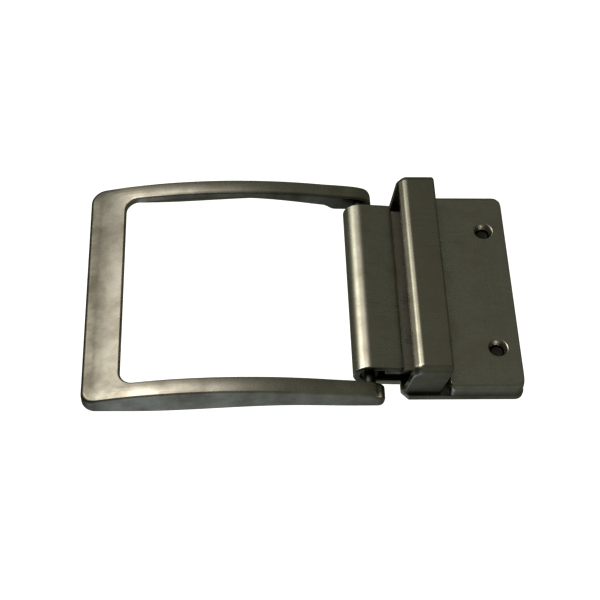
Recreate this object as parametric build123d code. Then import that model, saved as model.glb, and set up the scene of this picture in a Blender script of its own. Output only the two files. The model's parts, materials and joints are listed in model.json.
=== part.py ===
from build123d import *
import math
import os

# A dress belt buckle that clamps onto the cut end of a plain strap.
# An arched cast frame swings on a hinge pin. The pin runs in the rolled end of the clamp's base sheet.
# A keeper loop stands on the base, and a toothed clamp with a lid and two screws grips the strap.
# X runs along the strap from the frame's end bar to the mouth of the clamp, Y across it, Z up.
# The pieces are drawn with X = 0 at the hinge pin, and place() moves them to the part's own origin.

# The strap that the buckle is made for, mm
STRAP_WIDTH = 35.0

# Overall reach either side of the hinge pin
FRAME_REACH = 46.1
CLAMP_REACH = 25.2
PIN_X = (FRAME_REACH - CLAMP_REACH) / 2

# Hinge
PIN_Z = 2.95
PIN_RADIUS = 1.5
PIN_SHOULDER = 16.0
JOURNAL_RADIUS = 0.9
RUNNING_FIT = 0.05
SHEET = 1.15
BARREL_RADIUS = PIN_RADIUS + RUNNING_FIT + SHEET
PIN_NEAR_END = 19.3
PIN_FAR_END = 20.7

# Frame
OPENING_WIDTH = STRAP_WIDTH + 1.2
RAIL_WIDTH = 2.9
FRAME_WIDTH = OPENING_WIDTH + 2 * RAIL_WIDTH
END_BAR_WIDTH = 6.2
OUTER_CORNER = 2.2
INNER_CORNER = 2.2
ARM_END_ROUND = 1.2
CREST_X = -20.0
CREST_Z = 6.2
CREST_RADIUS = 100.0
BELLY_FOOT_X = -38.0
BELLY_TOP_X = -12.0
BELLY_TOP_Z = 1.75

# The arm's nose, from the end of the arch round the pin to the flat under it
NOSE_START_X = -7.0
NOSE_X = 2.35
NOSE_Z = 2.1
NOSE_FOOT_X = -2.0
NOSE_FOOT_Z = 1.5
NOSE_HIGH_LEAD = 4.5
NOSE_LOW_LEAD = 2.8
BELLY_LEAD = 4.0

# The hollow back, whose underside slopes up from the outer foot to a thin inner edge
HOLLOW_START = -40.2
HOLLOW_END = -5.0
FOOT_WIDTH = 0.5
HOLLOW_OVERRUN = 0.3
FOOT_HEIGHTS = (0.0, 1.35, 1.2)
INNER_EDGE_DEPTHS = (1.3, 1.3, 2.5)

# Clamp
NECK_WIDTH = 32.6
PLATE_START = 5.2
PLATE_WIDTH = 38.3
PLATE_CUT_CORNER = 1.2
FLOOR_BEND_X = 4.6
LID_WIDTH = 38.5
LID_REACH = 24.9
LID_TOP = 4.0
LID_EDGE_ROUND = 0.8
LID_TAIL_START = 2.4
LID_TAIL_WIDTH = 32.0
LID_SHOULDER = 12.9
LID_SIDE_FOOT = 1.3
LIP_REACH = 5.3
LIP_GAP = 0.06
MOUTH_CORNER = 1.5

# Grip teeth, pressed up from the base
TOOTH_COUNT = 5
TOOTH_PITCH = 3.6
TOOTH_WIDTH = 1.6
TOOTH_LENGTH = 1.3
TOOTH_HEIGHT = 1.1
TOOTH_X = 23.4
TOOTH_TIP_X = 23.27

# Clamp screws, countersunk from below
SCREW_X = 21.2
SCREW_Y = 11.7
SCREW_RADIUS = 1.2
SCREW_HEAD_RADIUS = 2.1
SCREW_HEAD_FOOT = 0.08
SCREW_HEAD_TOP = 1.0
SCREW_TIP = 2.7
SLOT_WIDTH = 0.6
SLOT_DEPTH = 0.45
SLOT_ANGLE = 30
LID_HOLE_RADIUS = 1.33
LID_COLLAR_RADIUS = 2.1
LID_COLLAR_FOOT = 2.1
LID_RIM_RADIUS = 1.68
LID_RIM_DEPTH = 0.35

# Keeper loop: half widths at the shoulder and at the top of a band whose legs lean outwards
KEEPER_FOOT_HALF = 18.6
KEEPER_TOP_HALF = 19.5
KEEPER_TOP = 10.0
KEEPER_SHOULDER = 1.2
KEEPER_CORNER = 1.2
KEEPER_WINDOW_CORNER = 0.5
KEEPER_EDGE_ROUND = 0.35
KEEPER_FOOT = (5.5, 11.6)
KEEPER_CROWN = (6.5, 12.6)
TENON = (7.2, 10.0)
TENON_FOOT = 0.05
TENON_INSET = 0.1
TENON_ROOT = 0.3
TENON_GAP = 0.03

# How far the cutting and trimming bodies reach
REACH_DOWN = -3.0
REACH_UP = 14.0
OVERRUN = 1.0


def place(piece):
    """Moves a piece from the hinge pin's frame to the part's own origin."""
    return Pos(PIN_X, 0, 0) * piece


def side_polygon(points, width, y=0.0):
    """A closed outline of (X, Z) points, drawn out evenly across Y and centred on y."""
    face = make_face(Polyline(points, close=True))
    return Pos(0, y, 0) * extrude(Plane.XZ * face, width / 2, both=True)


def block(x0, x1, y0, y1, z0, z1):
    return Pos((x0 + x1) / 2, (y0 + y1) / 2, (z0 + z1) / 2) * Box(x1 - x0, y1 - y0, z1 - z0)


def rod_across(radius, y0, y1, x=0.0, z=PIN_Z):
    return Pos(x, (y0 + y1) / 2, z) * Rot(90, 0, 0) * Cylinder(radius, y1 - y0)


def upright(radius, x, y, z0, z1):
    return Pos(x, y, (z0 + z1) / 2) * Cylinder(radius, z1 - z0)


def taper(foot_radius, top_radius, x, y, z0, z1):
    return Pos(x, y, (z0 + z1) / 2) * Cone(foot_radius, top_radius, z1 - z0)


def crest_z(x):
    """Height of the frame's arched top at x."""
    run = x - CREST_X
    return CREST_Z - CREST_RADIUS + math.sqrt(CREST_RADIUS**2 - run**2)


def belly_line():
    """The rail's underside from the end bar to its highest point, as one smooth step."""
    third = (BELLY_TOP_X - BELLY_FOOT_X) / 3
    foot = (BELLY_FOOT_X, 0.0)
    top = (BELLY_TOP_X, BELLY_TOP_Z)
    return Bezier(foot, (foot[0] + third, foot[1]), (top[0] - third, top[1]), top)


def frame_profile():
    """Side view of the frame: flat under the end bar, arched on top, with a blunt nose round the pin."""
    nose_round = NOSE_Z - NOSE_FOOT_Z
    corner_x = NOSE_X - nose_round * (1 - math.sqrt(0.5))
    corner_z = NOSE_Z - nose_round * math.sqrt(0.5)
    start_z = crest_z(NOSE_START_X)
    run = NOSE_START_X - CREST_X
    slope = -run / math.sqrt(CREST_RADIUS**2 - run**2)
    end_z = crest_z(-FRAME_REACH)
    lines = [
        Line((-FRAME_REACH, 0), (BELLY_FOOT_X, 0)),
        belly_line(),
        Bezier(
            (BELLY_TOP_X, BELLY_TOP_Z),
            (BELLY_TOP_X + BELLY_LEAD, BELLY_TOP_Z),
            (NOSE_FOOT_X - BELLY_LEAD, NOSE_FOOT_Z),
            (NOSE_FOOT_X, NOSE_FOOT_Z),
        ),
        Line((NOSE_FOOT_X, NOSE_FOOT_Z), (NOSE_X - nose_round, NOSE_FOOT_Z)),
        ThreePointArc((NOSE_X - nose_round, NOSE_FOOT_Z), (corner_x, corner_z), (NOSE_X, NOSE_Z)),
        Bezier(
            (NOSE_X, NOSE_Z),
            (NOSE_X, NOSE_Z + NOSE_LOW_LEAD),
            (NOSE_START_X + NOSE_HIGH_LEAD, start_z + slope * NOSE_HIGH_LEAD),
            (NOSE_START_X, start_z),
        ),
        ThreePointArc((NOSE_START_X, start_z), (CREST_X, CREST_Z), (-FRAME_REACH, end_z)),
        Line((-FRAME_REACH, end_z), (-FRAME_REACH, 0)),
    ]
    return extrude(Plane.XZ * make_face(lines), FRAME_WIDTH / 2 + OVERRUN, both=True)


def ring_plan():
    """Plan view of the frame: a rounded ring, open towards the clamp, with rounded arm ends."""
    outline = Pos((NOSE_X - FRAME_REACH) / 2, 0) * Rectangle(FRAME_REACH + NOSE_X, FRAME_WIDTH)
    bar_corners = outline.vertices().sort_by(Axis.X)[:2]
    outline = fillet(bar_corners, OUTER_CORNER)
    arm_corners = outline.vertices().filter_by(lambda v: v.X > 0)
    outline = fillet(arm_corners, ARM_END_ROUND)
    bar_edge = END_BAR_WIDTH - FRAME_REACH
    length = FRAME_WIDTH - bar_edge
    inside = Pos(bar_edge + length / 2, 0) * Rectangle(length, OPENING_WIDTH)
    inside = fillet(inside.vertices().filter_by(lambda v: v.X < 0), INNER_CORNER)
    return extrude(outline - inside, REACH_UP)


def rail_hollow(side):
    """The space under one rail, between a line over its outer foot and a higher one by its inner edge."""
    stations = (HOLLOW_START, CREST_X, HOLLOW_END)

    def section(y, heights):
        start, mid, end = zip(stations, heights)
        lines = [
            Line((start[0], REACH_DOWN), (end[0], REACH_DOWN)),
            Line((end[0], REACH_DOWN), end),
            ThreePointArc(end, mid, start),
            Line(start, (start[0], REACH_DOWN)),
        ]
        return Pos(0, y, 0) * (Plane.XZ * make_face(lines))

    edge = [crest_z(x) - depth for x, depth in zip(stations, INNER_EDGE_DEPTHS)]
    low = section(side * (FRAME_WIDTH / 2 - FOOT_WIDTH), FOOT_HEIGHTS)
    high = section(side * (OPENING_WIDTH / 2 - HOLLOW_OVERRUN), edge)
    return loft([low, high], ruled=True)


def bar_hollow():
    """The same space under the end bar."""
    foot_x = FOOT_WIDTH - FRAME_REACH
    edge_x = END_BAR_WIDTH - FRAME_REACH + HOLLOW_OVERRUN
    edge_z = crest_z(edge_x) - INNER_EDGE_DEPTHS[0]
    points = [(foot_x, REACH_DOWN), (edge_x, REACH_DOWN), (edge_x, edge_z), (foot_x, 0)]
    return side_polygon(points, OPENING_WIDTH)


def frame():
    ring = frame_profile() & ring_plan()
    ring = ring - bar_hollow() - rail_hollow(1) - rail_hollow(-1)
    return ring - rod_across(JOURNAL_RADIUS, -PIN_NEAR_END, FRAME_WIDTH / 2 + OVERRUN)


def hinge_pin():
    """A shouldered pin, driven in from the far side, whose thinner ends sit in the arms."""
    body = rod_across(PIN_RADIUS, -PIN_SHOULDER, PIN_SHOULDER)
    return body + rod_across(JOURNAL_RADIUS, -PIN_NEAR_END, PIN_FAR_END)


def tangent_angle(point, radius, sign):
    """Angle on a circle about the pin at which the line to a point leaves it, above (1) or below (-1)."""
    rise = point[1] - PIN_Z
    distance = math.hypot(point[0], rise)
    return math.atan2(rise, point[0]) + sign * math.acos(radius / distance)


def on_circle(radius, angle):
    return (radius * math.cos(angle), PIN_Z + radius * math.sin(angle))


def rolled_sheet_profile():
    """Side view of the base sheet: flat floor, a rolled barrel round the pin, and a lip over the lid."""
    outer = BARREL_RADIUS
    inner = BARREL_RADIUS - SHEET
    floor_start = (FLOOR_BEND_X, 0.0)
    low = tangent_angle(floor_start, outer, -1)
    lip = (LIP_REACH, LID_TOP + LIP_GAP + SHEET)
    high = tangent_angle(lip, outer, 1)
    slope = high - math.pi / 2
    lip_under = (lip[0] + SHEET * math.sin(slope), lip[1] - SHEET * math.cos(slope))
    bend = low + math.pi / 2
    floor_top = (floor_start[0] - SHEET * math.tan(bend / 2), SHEET)
    lines = [
        Line((CLAMP_REACH, 0), floor_start),
        Line(floor_start, on_circle(outer, low)),
        ThreePointArc(on_circle(outer, low), (-outer, PIN_Z), on_circle(outer, high)),
        Line(on_circle(outer, high), lip),
        Line(lip, lip_under),
        Line(lip_under, on_circle(inner, high)),
        ThreePointArc(on_circle(inner, high), (-inner, PIN_Z), on_circle(inner, low)),
        Line(on_circle(inner, low), floor_top),
        Line(floor_top, (CLAMP_REACH, SHEET)),
        Line((CLAMP_REACH, SHEET), (CLAMP_REACH, 0)),
    ]
    return extrude(Plane.XZ * make_face(lines), PLATE_WIDTH / 2, both=True)


def plate_plan(start, end, width):
    """Plan view of a plate from start to end, with rounded corners at the mouth."""
    outline = Pos((start + end) / 2, 0) * Rectangle(end - start, width)
    mouth = outline.vertices().sort_by(Axis.X)[2:]
    return fillet(mouth, MOUTH_CORNER)


def tooth(y):
    half = TOOTH_LENGTH / 2
    points = [
        (TOOTH_X - half, SHEET),
        (TOOTH_X + half, SHEET),
        (TOOTH_TIP_X, SHEET + TOOTH_HEIGHT),
    ]
    return side_polygon(points, TOOTH_WIDTH, y)


def screw_hole(y):
    """Countersunk clearance hole in the base, RUNNING_FIT wider than the screw all round."""
    wide = SCREW_HEAD_RADIUS + RUNNING_FIT
    narrow = SCREW_RADIUS + RUNNING_FIT
    mouth = upright(wide, SCREW_X, y, REACH_DOWN, SCREW_HEAD_FOOT)
    seat = taper(wide, narrow, SCREW_X, y, SCREW_HEAD_FOOT, SCREW_HEAD_TOP)
    return mouth + seat + upright(narrow, SCREW_X, y, SCREW_HEAD_TOP, SHEET + OVERRUN)


def tenon(side, gap=0.0):
    """The peened tab under a keeper leg, and with a gap the slot for it in the base."""
    inner = KEEPER_FOOT_HALF - SHEET - gap
    outer = KEEPER_FOOT_HALF - TENON_INSET + gap
    low = REACH_DOWN if gap else TENON_FOOT
    y0, y1 = sorted((side * inner, side * outer))
    return block(TENON[0] - gap, TENON[1] + gap, y0, y1, low, KEEPER_SHOULDER + TENON_ROOT)


def clamp_base():
    plan = plate_plan(PLATE_START, CLAMP_REACH, PLATE_WIDTH)
    plan = chamfer(plan.vertices().sort_by(Axis.X)[:2], PLATE_CUT_CORNER)
    neck = NECK_WIDTH / 2
    tongue = block(-BARREL_RADIUS - OVERRUN, PLATE_START + OVERRUN, -neck, neck, 0, REACH_UP)
    lip_room = block(PLATE_START - OVERRUN, LIP_REACH + OVERRUN, neck, PLATE_WIDTH, SHEET, REACH_UP)
    base = rolled_sheet_profile() & (extrude(plan, REACH_UP) + tongue)
    base = base - lip_room - mirror(lip_room, Plane.XZ)
    for side in (1, -1):
        base = base - screw_hole(side * SCREW_Y) - tenon(side, TENON_GAP)
    middle = (TOOTH_COUNT - 1) / 2
    for index in range(TOOTH_COUNT):
        base = base + tooth((index - middle) * TOOTH_PITCH)
    return base


def clamp_lid():
    """The top jaw: a plate with turned-down sides, and a narrower tail that lies under the lip."""
    roof = extrude(plate_plan(LID_SHOULDER, LID_REACH, LID_WIDTH), REACH_UP)
    tail_half = LID_TAIL_WIDTH / 2
    tail = block(LID_TAIL_START, LID_SHOULDER + OVERRUN, -tail_half, tail_half, 0, LID_TOP)
    plate = (roof + tail) & block(0, CLAMP_REACH, -PLATE_WIDTH, PLATE_WIDTH, LID_TOP - SHEET, LID_TOP)
    inner = LID_WIDTH / 2 - SHEET
    sides = roof & block(0, CLAMP_REACH, -PLATE_WIDTH, PLATE_WIDTH, LID_SIDE_FOOT, LID_TOP)
    sides = sides - block(0, CLAMP_REACH, -inner, inner, 0, REACH_UP)
    lid = plate + sides
    top_edges = lid.edges().filter_by(Axis.X).group_by(Axis.Z)[-1]
    side_edges = top_edges.filter_by(lambda e: e.center().X > LID_SHOULDER)
    lid = fillet(side_edges, LID_EDGE_ROUND)
    for y in (SCREW_Y, -SCREW_Y):
        lid = lid + upright(LID_COLLAR_RADIUS, SCREW_X, y, LID_COLLAR_FOOT, LID_TOP - SHEET)
        lid = lid - upright(LID_HOLE_RADIUS, SCREW_X, y, 0, REACH_UP)
        lid = lid - taper(LID_HOLE_RADIUS, LID_RIM_RADIUS, SCREW_X, y, LID_TOP - LID_RIM_DEPTH, LID_TOP)
    return lid


def keeper_outline(foot_half, top_half, top):
    """Outline across the strap with sides that lean outwards on their way up to the top."""
    lean = (top_half - foot_half) / (top - KEEPER_SHOULDER)
    low_half = foot_half + lean * (REACH_DOWN - KEEPER_SHOULDER)
    points = [(-low_half, REACH_DOWN), (low_half, REACH_DOWN), (top_half, top), (-top_half, top)]
    return make_face(Polyline(points, close=True))


def keeper_loop():
    """A bent band: two leaning legs that stand on the base, joined by a top bar, with a tenon under each."""
    outline = keeper_outline(KEEPER_FOOT_HALF, KEEPER_TOP_HALF, KEEPER_TOP)
    outline = fillet(outline.vertices().sort_by(Axis.Y)[2:], KEEPER_CORNER)
    window_top = KEEPER_TOP - SHEET
    window = keeper_outline(KEEPER_FOOT_HALF - SHEET, KEEPER_TOP_HALF - SHEET, window_top)
    window = fillet(window.vertices().sort_by(Axis.Y)[2:], KEEPER_WINDOW_CORNER)
    band = extrude(Plane.YZ * (outline - window), CLAMP_REACH)
    lean = [
        (KEEPER_FOOT[0], KEEPER_SHOULDER),
        (KEEPER_FOOT[1], KEEPER_SHOULDER),
        (KEEPER_CROWN[1], KEEPER_TOP),
        (KEEPER_CROWN[0], KEEPER_TOP),
    ]
    loop = band & side_polygon(lean, 2 * (KEEPER_TOP_HALF + OVERRUN))
    top_edges = loop.edges().filter_by(Axis.Y).group_by(Axis.Z)[-1]
    loop = fillet(top_edges, KEEPER_EDGE_ROUND)
    return loop + tenon(1) + tenon(-1)


def clamp_screw(y):
    """Countersunk slotted screw, head down in the base, tip up inside the lid's collar."""
    body = taper(SCREW_HEAD_RADIUS, SCREW_RADIUS, SCREW_X, y, SCREW_HEAD_FOOT, SCREW_HEAD_TOP)
    body = body + upright(SCREW_RADIUS, SCREW_X, y, SCREW_HEAD_TOP, SCREW_TIP)
    turned = Pos(SCREW_X, y, 0) * Rot(0, 0, SLOT_ANGLE)
    reach = SCREW_HEAD_RADIUS + OVERRUN
    half = SLOT_WIDTH / 2
    return body - turned * block(-reach, reach, -half, half, 0, SCREW_HEAD_FOOT + SLOT_DEPTH)


PIECES = {
    "frame": frame(),
    "hinge_pin": hinge_pin(),
    "clamp_base": clamp_base(),
    "clamp_lid": clamp_lid(),
    "keeper_loop": keeper_loop(),
    "clamp_screw_far": clamp_screw(SCREW_Y),
    "clamp_screw_near": clamp_screw(-SCREW_Y),
}

os.makedirs("parts", exist_ok=True)
for name, piece in PIECES.items():
    export_step(place(piece), f"parts/{name}.step")
    print(name, round(piece.volume, 1), "mm3")
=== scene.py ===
# %% [markdown]
# # A clamp-on dress belt buckle
#
# The real buckle is one casting, one pin, three sheet pressings and two screws, all with a satin
# antique nickel finish. This lesson makes each piece as a surface worked out with numpy: a rounded
# section carried along a path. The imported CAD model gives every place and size, so it is loaded
# first, and each new piece stands exactly where its CAD node stands.

# %% Load the fixed frame
import json
import math

import bpy
import numpy as np
from mathutils import Matrix, Vector


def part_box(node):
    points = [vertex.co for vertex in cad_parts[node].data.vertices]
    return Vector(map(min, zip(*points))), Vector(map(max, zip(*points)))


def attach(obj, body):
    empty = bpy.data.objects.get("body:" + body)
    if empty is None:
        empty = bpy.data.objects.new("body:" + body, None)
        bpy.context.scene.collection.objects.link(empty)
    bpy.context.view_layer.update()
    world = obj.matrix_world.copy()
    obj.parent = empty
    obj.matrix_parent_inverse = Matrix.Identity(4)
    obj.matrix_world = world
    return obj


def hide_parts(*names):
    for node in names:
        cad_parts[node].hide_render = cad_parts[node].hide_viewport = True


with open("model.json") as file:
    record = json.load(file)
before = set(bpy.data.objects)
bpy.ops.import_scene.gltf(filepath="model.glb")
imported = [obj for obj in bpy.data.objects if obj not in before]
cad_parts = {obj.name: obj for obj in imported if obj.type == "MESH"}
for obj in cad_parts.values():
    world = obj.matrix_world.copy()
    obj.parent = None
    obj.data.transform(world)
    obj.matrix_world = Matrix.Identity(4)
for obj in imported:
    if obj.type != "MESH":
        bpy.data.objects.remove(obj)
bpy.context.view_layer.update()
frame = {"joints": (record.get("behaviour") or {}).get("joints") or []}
MM = 0.001
joints = {joint["name"]: joint for joint in frame["joints"]}

# %% [markdown]
# ## Sizes
#
# A size that the CAD model can tell is read from a node's box or from a joint. The rest are the
# maker's own numbers, such as the sheet's thickness and the radius of a worn edge. All work below
# is in millimetres, with X = 0 at the hinge pin, and place() turns that into metres in the row's
# own frame at the very end.

# %% Read sizes from the CAD nodes
PIN_X, _, PIN_Z = (value / MM for value in joints["frame_hinge"]["pos_m"])


def span(node, axis):
    """Lowest and highest place of a CAD node along one axis, in mm, with X from the hinge pin."""
    low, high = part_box(node)
    shift = PIN_X if axis == 0 else 0.0
    return low[axis] / MM - shift, high[axis] / MM - shift


FRAME_LEFT, FRAME_RIGHT = span("frame", 0)
FRAME_HALF = span("frame", 1)[1]
CREST_Z = span("frame", 2)[1]
PIN_RADIUS = (span("hinge_pin", 0)[1] - span("hinge_pin", 0)[0]) / 2
BARREL_RADIUS = -span("clamp_base", 0)[0]
MOUTH_X = span("clamp_base", 0)[1]
PLATE_HALF = span("clamp_base", 1)[1]
LID_START, LID_END = span("clamp_lid", 0)
LID_HALF = span("clamp_lid", 1)[1]
LID_FOOT, LID_TOP = span("clamp_lid", 2)
KEEPER_TOP = span("keeper_loop", 2)[1]
SCREW_X = sum(span("clamp_screw_far", 0)) / 2
SCREW_Y = sum(span("clamp_screw_far", 1)) / 2
SHEET = 1.15
JOURNAL_RADIUS = 0.9
print(f"frame {FRAME_LEFT:.2f} to {FRAME_RIGHT:.2f} mm, mouth at {MOUTH_X:.2f} mm")

# %% [markdown]
# ## A rounded section
#
# Every edge of a cast or pressed part is a little round, and that roundness is what catches the
# light. So the one tool that all pieces share takes the corners of a section at many stations at
# once, cuts each corner back, and bends an arc across it. It also says where the arcs are, because
# the finish is worn brighter there.

# %% Round the corners of many sections at once
ARC_STEPS = 7
HOLD = 0.05
ARC_SHARE = 0.42
HOLD_SHARE = 0.07
FULLY_WORN = 0.15


def unit(vectors):
    """Each vector over its own length, and zero where it has none."""
    length = np.linalg.norm(vectors, axis=-1, keepdims=True)
    return vectors / np.maximum(length, 1e-9)


def rounded_sections(corners, cuts, steps=ARC_STEPS, hold=HOLD):
    """Rounds corners of shape (stations, corners, 3), each cut back by its number in cuts.

    For a corner C with tangent points A and B the arc is the conic
    ((1-t)^2 A + 2 w t (1-t) C + t^2 B) / ((1-t)^2 + 2 w t (1-t) + t^2), with w the sine of half the
    angle at C, which is a circle when A and B are equally far. A holding point stands just outside
    each tangent point and keeps the flats flat. An arc and its holding point take less than half of
    the shorter side next to them, so that neighbours never cross. Returns the points and a 0 to 1
    mark of the arcs, which is 1 where the cut is FULLY_WORN or more.
    """
    back = np.roll(corners, 1, axis=1) - corners
    ahead = np.roll(corners, -1, axis=1) - corners
    shortest = np.minimum(np.linalg.norm(back, axis=2), np.linalg.norm(ahead, axis=2))
    reach = np.minimum(np.broadcast_to(cuts, shortest.shape), ARC_SHARE * shortest)[..., None]
    back, ahead = unit(back), unit(ahead)
    cosine = np.clip(np.sum(back * ahead, axis=2), -1, 1)
    weight = np.sqrt((1 - cosine) / 2)[..., None, None]
    t = np.linspace(0, 1, steps)[:, None]
    start = (corners + back * reach)[:, :, None]
    finish = (corners + ahead * reach)[:, :, None]
    middle = corners[:, :, None]
    top = (1 - t) ** 2 * start + 2 * weight * t * (1 - t) * middle + t**2 * finish
    arc = top / ((1 - t) ** 2 + 2 * weight * t * (1 - t) + t**2)
    step = np.minimum(hold, HOLD_SHARE * shortest)[..., None]
    before = (corners + back * (reach + step))[:, :, None]
    after = (corners + ahead * (reach + step))[:, :, None]
    points = np.concatenate([before, arc, after], axis=2)
    mark = np.zeros(points.shape[:3])
    mark[:, :, 1:-1] = np.clip(reach / FULLY_WORN, 0, 1)
    stations = corners.shape[0]
    return points.reshape(stations, -1, 3), mark.reshape(stations, -1)


# %% [markdown]
# ## From a grid of points to a mesh
#
# A piece is a grid: its rows are the stations along the path, its columns go round the section.
# The faces are the same little square repeated, so their corner numbers are worked out as arrays
# too. Both ends are capped, unless the last row comes back to the first. Points that coincide are
# merged. The signed volume says whether the skin points outwards, and it is turned if not.

# %% Build, close and orient a mesh
SHARP = math.radians(38)
MERGE_M = 2e-6
FLAT_WEIGHT = 90


def place(points):
    """From mm about the hinge pin to metres in the row's frame."""
    return (points + np.array([PIN_X, 0.0, 0.0])) * MM


def signed_volume(vertices, faces):
    """Sum over the faces' triangles of a . (b x c) / 6, positive when the faces point outwards."""
    total = 0.0
    for size in {len(face) for face in faces}:
        some = np.array([face for face in faces if len(face) == size])
        a = vertices[some[:, 0]]
        for k in range(1, size - 1):
            total += np.sum(a * np.cross(vertices[some[:, k]], vertices[some[:, k + 1]])) / 6
    return total


def grid_faces(rows, columns):
    """Squares between each row and the next, closed round the section, and a cap on each end."""
    r, c = np.meshgrid(np.arange(rows - 1), np.arange(columns), indexing="ij")
    this_row, next_row, beside = r * columns, (r + 1) * columns, (c + 1) % columns
    quads = np.stack([this_row + c, this_row + beside, next_row + beside, next_row + c], axis=-1)
    first = np.arange(columns)[::-1]
    last = (rows - 1) * columns + np.arange(columns)
    return quads.reshape(-1, 4).tolist() + [first.tolist(), last.tolist()]


def make_piece(name, shells):
    """One object from closed shells, each a pair of grid points (rows, columns, 3) and edge marks."""
    vertices, marks, faces = [], [], []
    for points, mark in shells:
        offset = sum(len(part) for part in vertices)
        flat = points.reshape(-1, 3)
        own = grid_faces(points.shape[0], points.shape[1])
        if np.allclose(points[0], points[-1]):
            own = own[:-2]
        if signed_volume(flat, own) < 0:
            own = [face[::-1] for face in own]
        faces += [[index + offset for index in face] for face in own]
        vertices.append(flat)
        marks.append(mark.reshape(-1))
    mesh = bpy.data.meshes.new(name)
    mesh.from_pydata(place(np.concatenate(vertices)).tolist(), [], faces)
    wear = mesh.attributes.new("edge", "FLOAT", "POINT")
    wear.data.foreach_set("value", np.concatenate(marks).astype(np.float32))
    piece = bpy.data.objects.new(name, mesh)
    bpy.context.scene.collection.objects.link(piece)
    return piece


def apply_modifiers(piece):
    """Gives the piece the mesh that its modifiers make of it, and drops them."""
    graph = bpy.context.evaluated_depsgraph_get()
    mesh = bpy.data.meshes.new_from_object(piece.evaluated_get(graph))
    piece.modifiers.clear()
    piece.data = mesh
    return mesh


def finish_mesh(piece, cutters=()):
    """Cuts holes, merges what coincides, and smooths all but sharp edges, large faces weighing most."""
    for cutter in cutters:
        cut = piece.modifiers.new("cut", "BOOLEAN")
        cut.operation = "DIFFERENCE"
        cut.solver = "EXACT"
        cut.object = cutter
    weld = piece.modifiers.new("weld", "WELD")
    weld.merge_threshold = MERGE_M
    mesh = apply_modifiers(piece)
    mesh.polygons.foreach_set("use_smooth", np.ones(len(mesh.polygons), bool))
    mesh.set_sharp_from_angle(angle=SHARP)
    for cutter in cutters:
        bpy.data.objects.remove(cutter)
    level = piece.modifiers.new("level", "WEIGHTED_NORMAL")
    level.keep_sharp = True
    level.weight = FLAT_WEIGHT
    mesh = apply_modifiers(piece)
    mesh.calc_loop_triangles()
    print(f"{piece.name}: {len(mesh.vertices)} points, {len(mesh.loop_triangles)} triangles")
    return piece


def join(piece, other):
    """Joins another object's mesh into the piece, as closed shells of its own."""
    with bpy.context.temp_override(active_object=piece, selected_editable_objects=[piece, other]):
        bpy.ops.object.join()


# %% [markdown]
# ## Ends and turned parts
#
# A sheet's end is rounded like its edges, so the last few stations draw in along a quarter circle.
# Pins, screws and the tools that cut round holes are turned parts: an outline spun about an axis.

# %% Draw in an end, and spin an outline
def quarter(radius, steps=6):
    """Distances from the end of points evenly spaced round a quarter circle: r (1 - sin a)."""
    return radius * (1 - np.sin(np.linspace(0, math.pi / 2, steps)))


def turned(outline, centre, axis, around=64):
    """An outline of (radius, height) pairs spun about an axis, one ring of points for each pair."""
    radius, height = np.array(outline, float).T
    angle = np.linspace(0, 2 * math.pi, around, endpoint=False)
    across = np.outer(radius, np.cos(angle))
    up = np.outer(radius, np.sin(angle))
    along = np.repeat(height[:, None], around, axis=1)
    order = {"Z": (across, up, along), "Y": (across, along, up)}[axis]
    points = np.stack(order, axis=-1) + np.array(centre)
    return points, np.zeros(points.shape[:2])


# %% [markdown]
# ## The frame
#
# The frame is a casting. Seen from the side its top is one long arch that comes down in a blunt
# nose round the pin, and its belly is flat under the end bar and steps up under the rails. Seen
# from above it is a ring, open towards the clamp. Its back is hollowed, so that the inner edge all
# round is only a thin lip. One section is carried from the far nose along the far rail, round the
# end bar and back to the near nose.

# %% The frame's side view as two curves
CREST_X = -20.0
CREST_RADIUS = 100.0
BELLY_FOOT_X = -38.0
BELLY_TOP_X = -12.0
BELLY_TOP_Z = 1.75
BELLY_END_X = -2.0
NOSE_START_X = -7.0
NOSE_LEAD = 4.5
NOSE_RISE = 2.8
NOSE_Z = 2.1
NOSE_FOOT_Z = 1.5
TIP_FLAT = 0.12


def smooth_step(x, low, high):
    """3u^2 - 2u^3 with u running from 0 at low to 1 at high."""
    u = np.clip((x - low) / (high - low), 0, 1)
    return u * u * (3 - 2 * u)


def arch(x):
    """Height of a circle through the crest."""
    return CREST_Z - CREST_RADIUS + np.sqrt(CREST_RADIUS**2 - (x - CREST_X) ** 2)


def nose_curve():
    """A cubic curve from the arch to the nose's tip: along the arch at first, upright at the end."""
    t = np.linspace(0, 1, 200)[:, None]
    start = np.array([NOSE_START_X, arch(NOSE_START_X)])
    slope = (CREST_X - NOSE_START_X) / CREST_RADIUS
    lead = start + NOSE_LEAD * np.array([1, slope])
    rise = np.array([FRAME_RIGHT, NOSE_Z + NOSE_RISE])
    end = np.array([FRAME_RIGHT, NOSE_Z])
    early = (1 - t) ** 3 * start + 3 * t * (1 - t) ** 2 * lead
    return early + 3 * t**2 * (1 - t) * rise + t**3 * end


NOSE = nose_curve()


def frame_top(x):
    """The arch as far as the nose, and then the nose's curve read off at x."""
    on_nose = np.interp(x, NOSE[:, 0], NOSE[:, 1])
    return np.where(x < NOSE_START_X, arch(np.minimum(x, NOSE_START_X)), on_nose)


def frame_belly(x):
    """A smooth step up from the table, a slight fall, and a quarter circle up to the tip's flat."""
    corner = NOSE_Z - TIP_FLAT - NOSE_FOOT_Z
    into = np.clip(x - (FRAME_RIGHT - corner), 0, corner)
    rise = BELLY_TOP_Z * smooth_step(x, BELLY_FOOT_X, BELLY_TOP_X)
    fall = (BELLY_TOP_Z - NOSE_FOOT_Z) * smooth_step(x, BELLY_TOP_X, BELLY_END_X)
    return rise - fall + corner - np.sqrt(corner**2 - into**2)


print(f"crest {CREST_Z:.2f} mm up, nose from {NOSE_START_X:.1f} to {FRAME_RIGHT:.2f} mm")


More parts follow.
